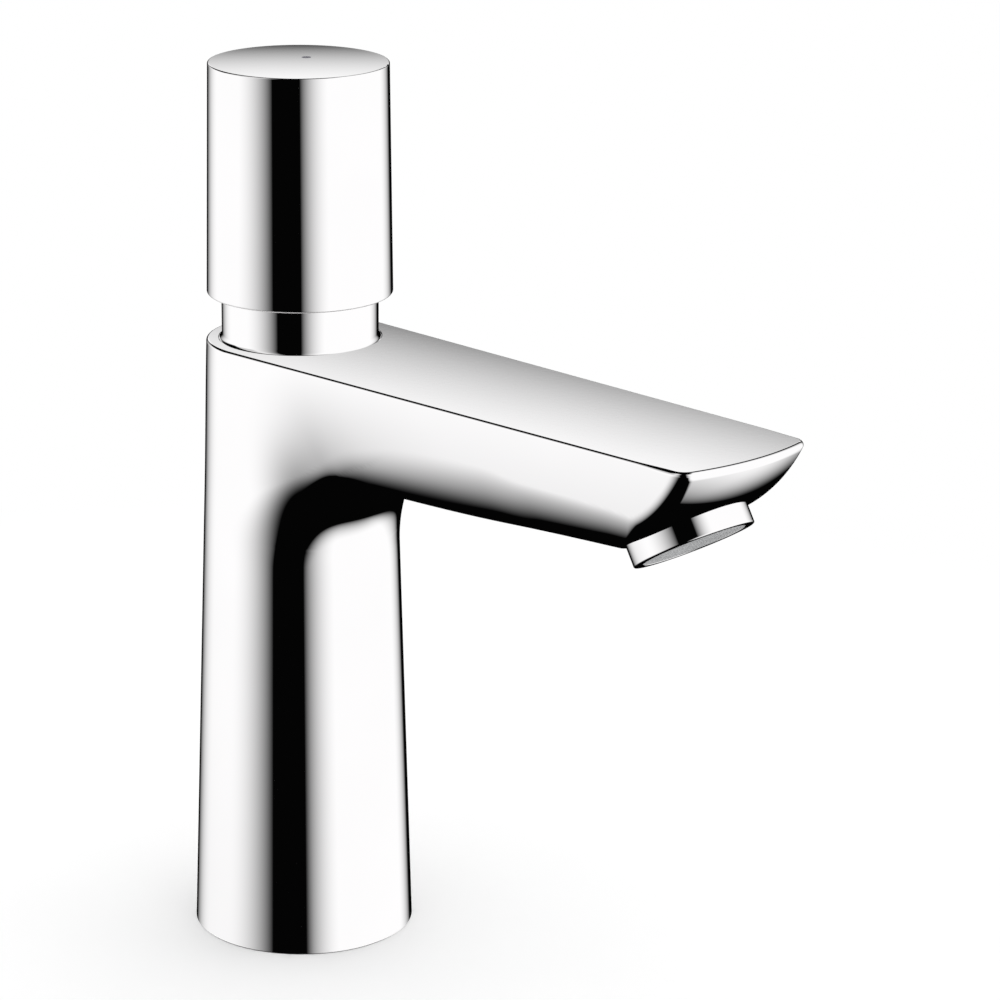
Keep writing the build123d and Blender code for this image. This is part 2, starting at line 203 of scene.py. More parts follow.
def gradient(f, P, h=2e-4):
    g = []
    for k in range(3):
        d = np.zeros(3)
        d[k] = h
        a, b = P + d, P - d
        g.append(f(a[..., 0], a[..., 1], a[..., 2]) - f(b[..., 0], b[..., 1], b[..., 2]))
    g = np.stack(g, -1)
    return g / np.maximum(np.linalg.norm(g, axis=-1, keepdims=True), 1e-12)


def flat_call(f):
    def g(x, y, z):
        s = x.shape
        return f(x.ravel(), y.ravel(), z.ravel()).reshape(s)

    return g


wall_f = flat_call(wall)


def cast(curve, shape, target, far=62.0, steps=124):
    """First place along each curve at which the wall field reaches the target."""
    lo = np.zeros(shape)
    hi = np.full(shape, far)
    found = np.zeros(shape, bool)
    prev = np.zeros(shape)
    for k in range(1, steps + 1):
        t = np.full(shape, far * k / steps)
        x, y, z = curve(t)
        out = wall_f(x, y, z) > target(x)
        new = out & ~found
        lo = np.where(new, prev, lo)
        hi = np.where(new, t, hi)
        found |= out
        prev = t
    assert found.all(), "open ray"
    for _ in range(44):
        mid = (lo + hi) / 2
        x, y, z = curve(mid)
        out = wall_f(x, y, z) > target(x)
        hi = np.where(out, mid, hi)
        lo = np.where(out, lo, mid)
    return np.stack(curve((lo + hi) / 2), -1)


# ------------------------------------------------------------------ mesh building
class Build:
    """Gathers patches with exact normals and joins them into one mesh."""

    def __init__(self):
        self.v, self.n, self.f, self.k = [], [], [], 0

    def grid(self, P, N, closed=False):
        rows, cols = P.shape[:2]
        idx = np.arange(rows * cols).reshape(rows, cols) + self.k
        if closed:
            idx = np.concatenate([idx, idx[:, :1]], 1)
        a, b, c, d = idx[:-1, :-1], idx[:-1, 1:], idx[1:, 1:], idx[1:, :-1]
        self.add(P.reshape(-1, 3), N.reshape(-1, 3), np.stack([a.ravel(), b.ravel(), c.ravel(), d.ravel()], 1) - self.k)

    def add(self, P, N, faces):
        self.v.append(P)
        self.n.append(N)
        self.f.append(np.asarray(faces) + self.k)
        self.k += len(P)

    def zip_rings(self, A, B, normal):
        """A band of triangles between two closed rings about the axis with different counts."""
        ta, tb = np.arctan2(A[:, 1], A[:, 0]), np.arctan2(B[:, 1], B[:, 0])
        A, B = A[np.argsort(ta)], B[np.argsort(tb)]
        ta, tb = np.sort(ta), np.sort(tb)
        na, nb = len(A), len(B)
        i = j = 0
        tris = []
        while i < na or j < nb:
            wa = ta[i + 1] if i + 1 < na else ta[0] + 2 * math.pi if i < na else 1e9
            wb = tb[j + 1] if j + 1 < nb else tb[0] + 2 * math.pi if j < nb else 1e9
            if wa <= wb:
                tris.append((i % na, (i + 1) % na, na + j % nb))
                i += 1
            else:
                tris.append((i % na, na + (j + 1) % nb, na + j % nb))
                j += 1
        P = np.concatenate([A, B])
        N = np.tile(np.asarray(normal, float), (len(P), 1)) if np.ndim(normal) == 1 else normal(P)
        self.add(P, N, np.array(tris))

    def done(self, name, place=None, cut=None, grow=None):
        V, N = np.concatenate(self.v), np.concatenate(self.n)
        key = np.round(V * 2e4).astype(np.int64)
        _, first, inv = np.unique(key, axis=0, return_index=True, return_inverse=True)
        inv = inv.ravel()
        faces, norms = [], []
        for f in self.f:
            g = inv[f]
            n = N[f]
            # a quad with a closed side becomes a triangle, an empty one is left out
            for k in range(len(g)):
                loop, ln = [], []
                for a, b in zip(g[k], n[k]):
                    if a not in loop:
                        loop.append(int(a))
                        ln.append(b)
                if len(loop) > 2:
                    faces.append(loop)
                    norms.append(ln)
        X = V[first]
        if cut is not None:
            keep = [k for k, f in enumerate(faces) if not cut(X[f].mean(0), np.mean(norms[k], 0))]
            faces, norms = [faces[k] for k in keep], [norms[k] for k in keep]
        if grow is not None:
            X, faces, norms = grow(X, faces, norms)
        out_f, out_n = [], []
        for f, n in zip(faces, norms):
            p = X[f]
            g = np.cross(p[1] - p[0], p[2] - p[0]) if len(f) == 3 else np.cross(p[2] - p[0], p[3] - p[1])
            if np.linalg.norm(g) < 1e-12:
                continue
            if g @ np.sum(n, 0) < 0:
                f, n = f[::-1], n[::-1]
            out_f.append(f)
            out_n.extend(n)
        used = np.unique(np.concatenate([np.array(f) for f in out_f]))
        back = np.full(len(X), -1)
        back[used] = np.arange(len(used))
        X = X[used]
        out_f = [[int(back[i]) for i in f] for f in out_f]
        out_n = np.array(out_n)
        if place is not None:
            X = place(X)
            out_n = place(out_n, True)
        # reach, across, up in mm to the shared frame in metres
        co = np.stack([X[:, 1], -X[:, 0], X[:, 2]], 1) * 0.001
        nn = np.stack([out_n[:, 1], -out_n[:, 0], out_n[:, 2]], 1)
        nn = nn / np.maximum(np.linalg.norm(nn, axis=1, keepdims=True), 1e-12)
        me = bpy.data.meshes.new(name)
        me.from_pydata([tuple(p) for p in co], [], out_f)
        me.update()
        me.polygons.foreach_set("use_smooth", np.ones(len(me.polygons), bool))
        me.normals_split_custom_set([tuple(n) for n in nn])
        me.update()
        ob = bpy.data.objects.new(name, me)
        bpy.context.scene.collection.objects.link(ob)
        return ob


def profile(corners, closed=True):
    """Points and normals of a turned outline given as (radius, height, rounding), material on the left."""
    P = [np.array(c[:2], float) for c in corners]
    R = [c[2] if len(c) > 2 else 0.0 for c in corners]
    n = len(P)
    pts, nrm = [], []
    for i in range(n):
        if not closed and i in (0, n - 1):
            d = P[1] - P[0] if i == 0 else P[-1] - P[-2]
            d = d / np.linalg.norm(d)
            pts.append(P[i])
            nrm.append(np.array([d[1], -d[0]]))
            continue
        a, b, c = P[i - 1], P[i], P[(i + 1) % n]
        d0, d1 = (b - a) / np.linalg.norm(b - a), (c - b) / np.linalg.norm(c - b)
        n0, n1 = np.array([d0[1], -d0[0]]), np.array([d1[1], -d1[0]])
        cosv = float(np.clip(d0 @ d1, -1, 1))
        ang = math.acos(cosv)
        if R[i] <= 0 or ang < 1e-3:
            pts += [b, b]
            nrm += [n0, n1]
            continue
        t = R[i] * math.tan(ang / 2)
        s, e = b - d0 * t, b + d1 * t
        turn = np.sign(d0[0] * d1[1] - d0[1] * d1[0])
        ctr = s - n0 * R[i] * turn
        m = max(3, int(math.degrees(ang) / 11))
        for k in range(m + 1):
            w = k / m
            nn = n0 * math.sin((1 - w) * ang) + n1 * math.sin(w * ang)
            nn = nn / np.linalg.norm(nn)
            pts.append(ctr + nn * R[i] * turn)
            nrm.append(nn)
    if closed:
        pts.append(pts[0])
        nrm.append(nrm[0])
    return np.array(pts), np.array(nrm)


def turn_into(build, pts, nrm, angles, closed=True):
    c, s = np.cos(angles), np.sin(angles)
    P = np.stack([pts[:, None, 0] * c, pts[:, None, 0] * s, np.repeat(pts[:, 1:2], len(angles), 1)], -1)
    N = np.stack([nrm[:, None, 0] * c, nrm[:, None, 0] * s, np.repeat(nrm[:, 1:2], len(angles), 1)], -1)
    # a zero-length step between two normals carries no faces
    start = 0
    for i in range(1, len(pts)):
        if np.linalg.norm(pts[i] - pts[i - 1]) < 1e-9:
            if i - 1 > start:
                build.grid(P[start:i], N[start:i], closed)
            start = i
    if len(pts) - 1 > start:
        build.grid(P[start:], N[start:], closed)


def split_long(pts, nrm, step):
    """Adds points along long straight steps."""
    p, n = [pts[0]], [nrm[0]]
    for i in range(1, len(pts)):
        d = np.linalg.norm(pts[i] - pts[i - 1])
        m = int(d / step)
        for k in range(1, m + 1):
            w = k / (m + 1)
            p.append(pts[i - 1] * (1 - w) + pts[i] * w)
            v = nrm[i - 1] * (1 - w) + nrm[i] * w
            n.append(v / np.linalg.norm(v))
        p.append(pts[i])
        n.append(nrm[i])
    return np.array(p), np.array(n)


# ------------------------------------------------------------------ body
def make_body():
    B = Build()
    M = 56                      # steps from the side to the bottom of a section
    NR = 88                     # steps round the back
    NT = 260                    # steps round the tip
    X1 = 96.0
    al = np.linspace(0, np.pi / 2, M + 1)
    # stations: base point, direction towards the section's lowest point
    st = []
    z_col = np.concatenate([np.linspace(0.25, 60, 9), np.linspace(63, ZC, 10)])
    for z in z_col:
        st.append((0.0, z, 1.0, 0.0))
    z_top = ZT + RISE * OUT_SH - EDGE0
    zs = np.linspace(ZC, z_top, 48)[1:-1]
    for z in zs:
        c = OUT_SH * float(bump(np.array(z)))
        d = np.array([SC - c, ZC - z])
        d /= np.linalg.norm(d)
        st.append((c, z, d[0], d[1]))
    n_low = len(st)
    for x in np.concatenate([np.linspace(OUT_SH, SC, 44), np.linspace(SC, X1, 56)[1:]]):
        z = top_z(x) - EDGE0
        d = np.array([max(SC - x, 0.0), ZC - z])
        d /= np.linalg.norm(d)
        st.append((x, z, d[0], d[1]))
    st = np.array(st)
    # along the section from the one side over the bottom to the other
    a2 = np.concatenate([al, np.pi - al[-2::-1]])
    ca, sa = np.cos(a2), np.sin(a2)
    S, C = len(st), len(a2)
    bx, bz, dx, dz = (st[:, k][:, None] for k in range(4))

    def sections(t):
        return bx + t * sa * dx, -t * ca + 0 * bx, bz + t * sa * dz

    U = cast(sections, (S, C), lambda x: 0.0 * x)
    U[:, M, 1] = 0.0
    NU = gradient(wall_f, U)
    B.grid(U, NU)
    # back of the column: from the +y side round to the -y side
    ph = np.linspace(np.pi / 2, 3 * np.pi / 2, NR + 1)
    rows = np.arange(0, n_low + 1)
    rc, rz = bx[rows], bz[rows]
    cp, sp = np.cos(ph), np.sin(ph)
    last = np.zeros((len(rows), 1))
    last[-1] = 1.0

    def rear(t):
        x = rc + t * cp
        z = rz + last * (RISE * (x - rc))
        return x, t * sp + 0 * rc, z

    RR = cast(rear, (len(rows), NR + 1), lambda x: 0.0 * x)
    RR[:, 0] = U[rows, -1]
    RR[:, -1] = U[rows, 0]
    B.grid(RR, gradient(wall_f, RR))
    # tip: from the -y side round to the +y side
    w = np.linspace(-1, 1, NT + 1)
    ps = (np.pi / 2) * (0.62 * w + 0.38 * w**3)
    ep = al[:, None]
    cps, sps = np.cos(ps)[None, :], np.sin(ps)[None, :]
    z1 = top_z(X1)

    def tip(t):
        x = X1 + t * np.cos(ep) * cps
        return x, t * np.cos(ep) * sps, top_z(x) - edge_r(x) - t * np.sin(ep)

    T = cast(tip, (M + 1, NT + 1), lambda x: 0.0 * x)
    T[:, 0] = U[-1, : M + 1]
    T[:, -1] = U[-1, M:][::-1]
    T[-1, :] = U[-1, M]
    B.grid(T, gradient(wall_f, T))
    # edge of the flat top, all the way round
    base = [(OUT_SH, c, s) for c, s in zip(cp, sp)]
    base += [(x, 0.0, -1.0) for x in st[n_low + 1 :, 0]]
    base += [(X1, c, s) for c, s in zip(np.cos(ps)[1:-1], np.sin(ps)[1:-1])]
    base += [(x, 0.0, 1.0) for x in st[n_low + 1 :, 0][::-1]]
    base = np.array(base)
    E = 7
    ta = np.linspace(0, np.pi / 2, E + 1)[:, None]

    def rim(t):
        x = base[:, 0] + t * base[:, 1]
        return x, t * base[:, 2] + 0 * ta, top_z(x) - edge_r(x) * (1 - np.sin(ta))

    R = cast(rim, (E + 1, len(base)), lambda x: -edge_r(x) * (1 - np.cos(ta)))
    R[0] = np.concatenate([RR[-1], U[n_low + 1 :, 0], T[0, 1:-1], U[n_low + 1 :, -1][::-1]])
    nw = gradient(wall_f, R)
    up = np.array([-RISE, 0, 1.0]) / math.sqrt(1 + RISE**2)
    # the wall's own direction square to the flat top
    side = nw - (nw @ up)[..., None] * up
    side /= np.linalg.norm(side, axis=-1, keepdims=True)
    NR_ = np.cos(ta)[..., None] * nw + np.sin(ta)[..., None] * up
    NR_ /= np.linalg.norm(NR_, axis=-1, keepdims=True)
    B.grid(R, NR_, closed=True)
    # flat top with the bore for the neck
    loop = R[-1]
    ang = np.arctan2(loop[:, 1], loop[:, 0])
    bore_r, ch = 16.66, 0.05
    ring = np.stack([(bore_r + ch) * np.cos(ang), (bore_r + ch) * np.sin(ang), 0 * ang], 1)
    ring[:, 2] = top_z(ring[:, 0])
    rowsP = [loop * (1 - k) + ring * k for k in (0, 0.15, 0.3, 0.45, 0.6, 0.72, 0.82, 0.9, 0.96, 1)]
    B.grid(np.stack(rowsP), np.tile(up, (len(rowsP), len(loop), 1)), closed=True)
    # bore, ledge and chamber, with the same angles
    order = ang
    c, s = np.cos(order), np.sin(order)
    r1 = np.stack([bore_r * c, bore_r * s, top_z(bore_r * c) - ch], 1)
    n_in = np.stack([-c, -s, 0 * c], 1)
    n_ch = (n_in + np.array([0, 0, 1.0])) / math.sqrt(2)
    B.grid(np.stack([ring, r1]), np.stack([n_ch, n_ch]), closed=True)
    chain = [(bore_r, None), (bore_r, 126.35), (15.0, 126.35), (15.0, 118.5), (14.0, 118.5), (14.0, 66.0), (7.0, 66.0)]
    prev = r1
    for k in range(1, len(chain)):
        r, z = chain[k]
        cur = np.stack([r * c, r * s, np.full_like(c, z)], 1)
        nn = n_in if abs(r - chain[k - 1][0]) < 1e-9 else np.tile(np.array([0, 0, 1.0]), (len(c), 1))
        B.grid(np.stack([prev, cur]), np.stack([nn, nn]), closed=True)
        prev = cur
    # underside of the base: small bevel, ring, cored space, boss and socket
    foot = np.concatenate([U[0], RR[0, 1:-1]])
    fa = np.arctan2(foot[:, 1], foot[:, 0])
    c, s = np.cos(fa), np.sin(fa)
    down, inw, outw = np.array([0, 0, -1.0]), np.stack([-c, -s, 0 * c], 1), np.stack([c, s, 0 * c], 1)
    steps = [
        (CB - 0.25, 0.0, "bevel"), (19.8, 0.0, "down"), (19.8 - 1.8, 58.0, "in"), (16.0, 61.0, "down"), (12.4, 58.0, "down"),
        (12.4, 0.0, "out"), (9.5, 0.0, "down"), (9.5, 16.0, "in"), (7.0, 16.0, "down"), (7.0, 40.0, "in"),
    ]
    prev = foot
    for r, z, kind in steps:
        cur = np.stack([r * c, r * s, np.full_like(c, z)], 1)
        if kind == "bevel":
            nn = (outw + down) / math.sqrt(2)
        elif kind == "down":
            nn = np.tile(down, (len(c), 1))
        elif kind == "in":
            nn = inw
        else:
            nn = outw
        B.grid(np.stack([prev, cur]), np.stack([nn, nn]), closed=True)
        prev = cur
    upper = np.stack([7.0 * np.cos(order), 7.0 * np.sin(order), np.full_like(order, 66.0)], 1)
    B.zip_rings(prev, upper, lambda P: -P * np.array([1, 1, 0]) / np.maximum(np.linalg.norm(P[:, :2], axis=1), 1e-9)[:, None])
    # outlet socket: the skin inside the ring is taken out and a socket put in its place
    at = np.array([110.1, 0, 111.2])
    til = math.radians(31.5)
    axis = np.array([math.sin(til), 0, -math.cos(til)])
    u1, u2 = np.array([math.cos(til), 0, math.sin(til)]), np.array([0, 1.0, 0])

    def inside(p, n):
        d = p - at
        w = d @ axis
        return n @ axis > 0.3 and abs(w) < 5 and np.linalg.norm(d - w * axis) < 10.9

    def socket(X, faces, norms):
        seen = {}
        for f in faces:
            for a, b in zip(f, f[1:] + f[:1]):
                k = (min(a, b), max(a, b))
                seen[k] = seen.get(k, 0) + 1
        rimv = [k for k, v in seen.items() if v == 1]
        near = [k for k in rimv if abs((X[k[0]] - at) @ axis) < 6 and np.linalg.norm(X[k[0]] - at) < 14]
        ids = sorted(set(i for k in near for i in k))
        if not ids:
            return X, faces, norms
        d = X[ids] - at
        a = np.arctan2(d @ u2, d @ u1)
        ringp = lambda depth, rad: at[None] - axis[None] * depth + rad * (np.cos(a)[:, None] * u1 + np.sin(a)[:, None] * u2)
        l1, l2 = ringp(2.2, 10.9), ringp(9.5, 10.9)
        n0 = len(X)
        m = len(ids)
        X = np.concatenate([X, l1, l2, (at - axis * 9.5)[None]])
        pos = {v: k for k, v in enumerate(ids)}
        inn = -(np.cos(a)[:, None] * u1 + np.sin(a)[:, None] * u2)
        for i, j in near:
            p, q = pos[i], pos[j]
            faces.append([i, j, n0 + q, n0 + p])
            norms.append([inn[p], inn[q], inn[q], inn[p]])
            faces.append([n0 + p, n0 + q, n0 + m + q, n0 + m + p])
            norms.append([inn[p], inn[q], inn[q], inn[p]])
            faces.append([n0 + m + p, n0 + m + q, n0 + 2 * m])
            norms.append([axis, axis, axis])
        return X, faces, norms

    return B.done("body_skin", cut=inside, grow=socket)


body = make_body()
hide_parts("body")
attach(body, "tap_body")

# ------------------------------------------------------------------ push cap
CAP_R0, CAP_Z0, CAP_R1, CAP_Z1, DOME = 18.93, 136.30, 18.247, 183.425, 0.12


def make_cap():
    B = Build()
    NA = 192
    ang = np.arange(NA) * 2 * np.pi / NA
    grub_z, grub_r = 177.0, 2.05
    slope = (CAP_R0 - CAP_R1) / (CAP_Z1 - CAP_Z0)
    rad_at = lambda z: CAP_R0 - slope * (z - CAP_Z0)
    # domed top: rows from the rounded edge to the centre
    pts, nrm = profile(
        [(16.5, CAP_Z1 - 3.2, 0.4), (16.5, CAP_Z0, 0.25), (CAP_R0, CAP_Z0, 0.42), (CAP_R1, CAP_Z1, 0.3), (CAP_R1 - 2.0, CAP_Z1 + DOME * (1 - ((CAP_R1 - 2.0) / CAP_R1) ** 2), 0)],
        closed=False,
    )
    pts, nrm = split_long(pts, nrm, 3.6)
    # the wall rows that the side hole sits in
    k = [i for i in range(len(pts)) if pts[i][0] > 18 and 173.2 < pts[i][1] < 180.8 and abs(nrm[i][1]) < 0.1]
    lo_i, hi_i = k[0] - 1, k[-1] + 1
    part1, n1 = pts[: lo_i + 1], nrm[: lo_i + 1]
    part3, n3 = pts[hi_i:], nrm[hi_i:]
    turn_into(B, part1, n1, ang)
    # the last row of the edge is carried over by the dome's own rows
    turn_into(B, part3[:-1], n3[:-1], ang)
    zlo, zhi = pts[lo_i][1], pts[hi_i][1]
    H = 12
    zr = np.linspace(zlo, zhi, H + 1)
    rr = rad_at(zr)
    nz = slope / math.sqrt(1 + slope**2)
    nr = 1 / math.sqrt(1 + slope**2)
    c0 = NA // 2
    half = 6
    cols = np.arange(NA + 1)
    keep = [q % NA for q in range(c0 + half, c0 - half + NA + 1)]
    a = ang[keep]
    P = np.stack([rr[:, None] * np.cos(a), rr[:, None] * np.sin(a), np.repeat(zr[:, None], len(a), 1)], -1)
    N = np.stack([nr * np.cos(a) + 0 * zr[:, None], nr * np.sin(a) + 0 * zr[:, None], np.full((H + 1, len(a)), nz)], -1)
    B.grid(P, N)
    # square of columns round the hole, drawn in to a circle
    aw = ang[c0 - half : c0 + half + 1]
    border = [(aw[0], z) for z in zr] + [(x, zr[-1]) for x in aw[1:]] + [(aw[-1], z) for z in zr[-2::-1]] + [(x, zr[0]) for x in aw[-2:0:-1]]
    border = np.array(border)
    rm = rad_at(grub_z)
    lx, lz = (border[:, 0] - np.pi) * rm, border[:, 1] - grub_z
    t = np.arctan2(lz, lx)
    rowsP, rowsN = [], []
    for w in (0, 0.35, 0.65, 0.9, 1.0):
        r_in = grub_r + 0.12 if w < 1 else grub_r + 0.12
        x = lx * (1 - w) + r_in * np.cos(t) * w
        z = lz * (1 - w) + r_in * np.sin(t) * w
        aa, zz = x / rm + np.pi, z + grub_z
        r_ = rad_at(zz)
        rowsP.append(np.stack([r_ * np.cos(aa), r_ * np.sin(aa), zz], 1))
        rowsN.append(np.stack([nr * np.cos(aa), nr * np.sin(aa), np.full_like(aa, nz)], 1))
    B.grid(np.stack(rowsP), np.stack(rowsN), closed=True)
    # the hole's edge and wall
    outer = rowsP[-1]
    y, z = grub_r * np.sin(-(t)) * 0 + grub_r * np.cos(t), grub_z + grub_r * np.sin(t)
    lipP = np.stack([-np.sqrt(np.maximum((rad_at(z) - 0.12) ** 2 - y * y, 0)), -y, z], 1)
    inP = np.stack([np.full_like(y, -15.2), -y, z], 1)
    n_in = np.stack([0 * t, np.cos(t), -np.sin(t)], 1)
    n_lip = (n_in + np.array([-1.0, 0, 0])) / math.sqrt(2)
    B.grid(np.stack([outer, lipP]), np.stack([n_lip, n_lip]), closed=True)
    B.grid(np.stack([lipP, inP]), np.stack([n_in, n_in]), closed=True)
    # dome
    edge = pts[-2]
    rows = np.linspace(edge[0], 0, 14)
    zt = CAP_Z1 + DOME * (1 - (rows / CAP_R1) ** 2)
    zt[0] = edge[1]
    sl = 2 * DOME * rows / CAP_R1**2
    q = 1 / np.sqrt(1 + sl**2)
    dn = np.stack([sl * q, q], 1)
    dn[0] = nrm[-2]
    turn_into(B, np.stack([rows, zt], 1), dn, ang)
    # roof inside
    inner = pts[0]
    turn_into(B, np.array([[0.0, CAP_Z1 - 3.2], [inner[0], CAP_Z1 - 3.2]]), np.array([[0, -1.0], [0, -1.0]]), ang)
    return B.done("cap_shell")


cap = make_cap()
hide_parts("push_cap")
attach(cap, "push_button")


def make_marker():
    B = Build()
    d2 = 1.9**2 + 3.7**2
    z = CAP_Z1 + DOME * (1 - d2 / CAP_R1**2) + 0.015
    pts, nrm = profile([(0, z - 0.65), (1.0, z - 0.65), (1.0, z, 0.06), (0, z)], closed=False)
    turn_into(B, pts, nrm, np.arange(48) * 2 * np.pi / 48)
    return B.done("marker_disc", place=lambda X, d=False: X if d else X + np.array([-1.9, 3.7, 0]))


marker = make_marker()
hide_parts("cap_marker")
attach(marker, "push_button")


# ------------------------------------------------------------------ neck sleeve
def make_sleeve():
    B = Build()
    sr = 15.965
    out = [(13.4, 121.3), (14.9, 121.3), (14.9, 126.38), (16.6, 126.38), (16.6, 126.86, 0.1)]
    for k in range(1, 9):
        a = math.radians(11.25 * k)
        out.append((16.6 - (16.6 - sr) * math.sin(a), 126.86 + 1.1 * (1 - math.cos(a)), 0.0))
    out += [(sr, 158.0), (sr - 0.8, 158.0), (sr - 0.8, 163.0), (sr, 163.0), (sr, 166.7, 0.4), (13.4, 166.7)]
    pts, nrm = profile(out)
    # the hollow of the foot is smooth
    for i in range(len(pts)):
        r, z = pts[i]
        if sr - 1e-6 <= r < 16.59 and 126.86 <= z <= 127.961:
            a = math.asin(min(1.0, max(0.0, (16.6 - r) / (16.6 - sr))))
            t = np.array([-(16.6 - sr) * math.cos(a), 1.1 * math.sin(a) + 1e-9])
            t /= np.linalg.norm(t)
            nrm[i] = np.array([t[1], -t[0]])
    turn_into(B, pts, nrm, np.arange(192) * 2 * np.pi / 192)
    return B.done("neck_tube")


neck = make_sleeve()
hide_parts("neck_sleeve")
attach(neck, "tap_body")


# ------------------------------------------------------------------ outlet ring
def outlet_place(X, d=False):
    t = math.radians(31.5)
    u1, u2, up = np.array([math.cos(t), 0, math.sin(t)]), np.array([0, 1.0, 0]), np.array([-math.sin(t), 0, math.cos(t)])
    Y = X[:, 0:1] * u1 + X[:, 1:2] * u2 + X[:, 2:3] * up
    return Y if d else Y + np.array([110.1, 0, 111.2])


def make_ring():
    B = Build()
    f = -3.13
    pts, nrm = profile(
        [(9.4, 5.2), (9.4, f + 0.9), (10.2, f + 0.9), (10.2, f, 0.08), (12.0, f, 0.28), (12.0, 1.9), (10.8, 1.9), (10.8, 5.2)]
    )
    turn_into(B, pts, nrm, np.arange(176) * 2 * np.pi / 176)
    return B.done("outlet_ring", place=outlet_place)


ring = make_ring()
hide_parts("aerator_ring")
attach(ring, "tap_body")


# ------------------------------------------------------------------ outlet grid
def make_grid():
    """A fine moulded mesh that lies just inside the ring's face."""
    B = Build()
    R, base, pitch, rib = 10.17, -3.13 + 0.10, 0.80, 0.22
    n = 300
    g = np.linspace(-R, R, n + 1)
    # the outer rows follow the circle, the inner ones stay square to the mesh
    gx, gy = np.meshgrid(g, g, indexing="ij")
    big = np.maximum(np.abs(gx), np.abs(gy))
    rad = np.sqrt(gx * gx + gy * gy) + 1e-12
    k = np.where(big > 0, big / rad, 1.0)
    x, y = gx * k, gy * k
    wave = lambda q: np.clip((np.abs((q / pitch) % 1.0 - 0.5) * pitch - (pitch / 2 - rib)) / 0.10, 0, 1)
    h = np.maximum(wave(x), wave(y))
    r = np.sqrt(x * x + y * y)
    h = np.maximum(h, np.clip((r - (R - 0.45)) / 0.1, 0, 1))
    P = np.stack([x, y, base + 0.32 * (1 - h)], -1)
    a = np.gradient(P, axis=0)
    b = np.gradient(P, axis=1)
    N = -np.cross(a, b)
    N /= np.maximum(np.linalg.norm(N, axis=-1, keepdims=True), 1e-12)
    N[N[..., 2] > 0] *= -1
    B.grid(P, N)
    # rim and back
    edge = np.concatenate([P[0, :-1], P[:-1, -1], P[-1, :0:-1], P[:0:-1, 0]])
    c, s_ = edge[:, 0] / R, edge[:, 1] / R
    out = np.stack([c, s_, 0 * c], 1)
    back = np.stack([R * c, R * s_, np.full_like(c, base + 0.7)], 1)
    B.grid(np.stack([edge, back]), np.stack([out, out]), closed=True)
    mid = np.stack([0 * c, 0 * c, np.full_like(c, base + 0.7)], 1)
    up = np.tile(np.array([0, 0, 1.0]), (len(c), 1))
    B.grid(np.stack([back, mid]), np.stack([up, up]), closed=True)
    return B.done("outlet_mesh", place=outlet_place)


grid = make_grid()
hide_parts("aerator_insert")
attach(grid, "tap_body")


# ------------------------------------------------------------------ materials
class Mat:
    def __init__(self, name):
        self.m = bpy.data.materials.new(name)
        self.m.use_nodes = True
        self.t = self.m.node_tree
        self.n = self.t.nodes
        self.b = next(x for x in self.n if x.type == "BSDF_PRINCIPLED")
        self.co = self.n.new("ShaderNodeTexCoord")

    def put(self, socket, value):
        self.b.inputs[socket].default_value = value

    def noise(self, scale, detail=4.0, rough=0.55, stretch=(1, 1, 1)):
        mp = self.n.new("ShaderNodeMapping")
        mp.inputs["Scale"].default_value = stretch
        self.t.links.new(self.co.outputs["Object"], mp.inputs["Vector"])
        x = self.n.new("ShaderNodeTexNoise")
        x.inputs["Scale"].default_value = scale
        x.inputs["Detail"].default_value = detail
        x.inputs["Roughness"].default_value = rough
        self.t.links.new(mp.outputs["Vector"], x.inputs["Vector"])
        return x.outputs["Fac"]

    def voronoi(self, scale):
        x = self.n.new("ShaderNodeTexVoronoi")
        x.inputs["Scale"].default_value = scale
        self.t.links.new(self.co.outputs["Object"], x.inputs["Vector"])
        return x.outputs["Distance"]

    def ramp(self, fac, a, b, lo=0.3, hi=0.7, to=None):
        r = self.n.new("ShaderNodeMapRange")
        r.inputs["From Min"].default_value = lo
        r.inputs["From Max"].default_value = hi
        r.inputs["To Min"].default_value = a
        r.inputs["To Max"].default_value = b
        self.t.links.new(fac, r.inputs["Value"])
        if to:
            self.t.links.new(r.outputs["Result"], self.b.inputs[to])
        return r.outputs["Result"]

    def colour(self, fac, c0, c1, lo=0.3, hi=0.7):
        r = self.n.new("ShaderNodeValToRGB")
        r.color_ramp.elements[0].position = lo
        r.color_ramp.elements[1].position = hi
        r.color_ramp.elements[0].color = (*c0, 1)
        r.color_ramp.elements[1].color = (*c1, 1)
        self.t.links.new(fac, r.inputs["Fac"])
        self.t.links.new(r.outputs["Color"], self.b.inputs["Base Color"])

    def bump(self, fac, strength, distance):
        x = self.n.new("ShaderNodeBump")
        x.inputs["Strength"].default_value = strength
        x.inputs["Distance"].default_value = distance
        self.t.links.new(fac, x.inputs["Height"])
        self.t.links.new(x.outputs["Normal"], self.b.inputs["Normal"])


def chrome():
    m = Mat("chrome_plate")
    m.put("Metallic", 1.0)
    m.put("IOR", 2.5)
    big = m.noise(38.0, 2.0)
    fine = m.noise(2600.0, 3.0)
    m.colour(big, (0.940, 0.932, 0.936), (0.952, 0.944, 0.948), 0.35, 0.65)
    m.ramp(fine, 0.012, 0.030, 0.35, 0.65, to="Roughness")
    m.bump(m.noise(900.0, 2.0), 0.02, 0.00002)
    return m.m


def brushed(name, c0, c1, rough, stretch=(1, 1, 40), scale=900.0, strength=0.25):
    m = Mat(name)
    m.put("Metallic", 1.0)
    n = m.noise(scale, 5.0, 0.6, stretch)
    wide = m.noise(60.0, 3.0)
    m.colour(wide, c0, c1)
    m.ramp(n, rough[0], rough[1], to="Roughness")
    m.bump(n, strength, 0.00004)
    return m.m


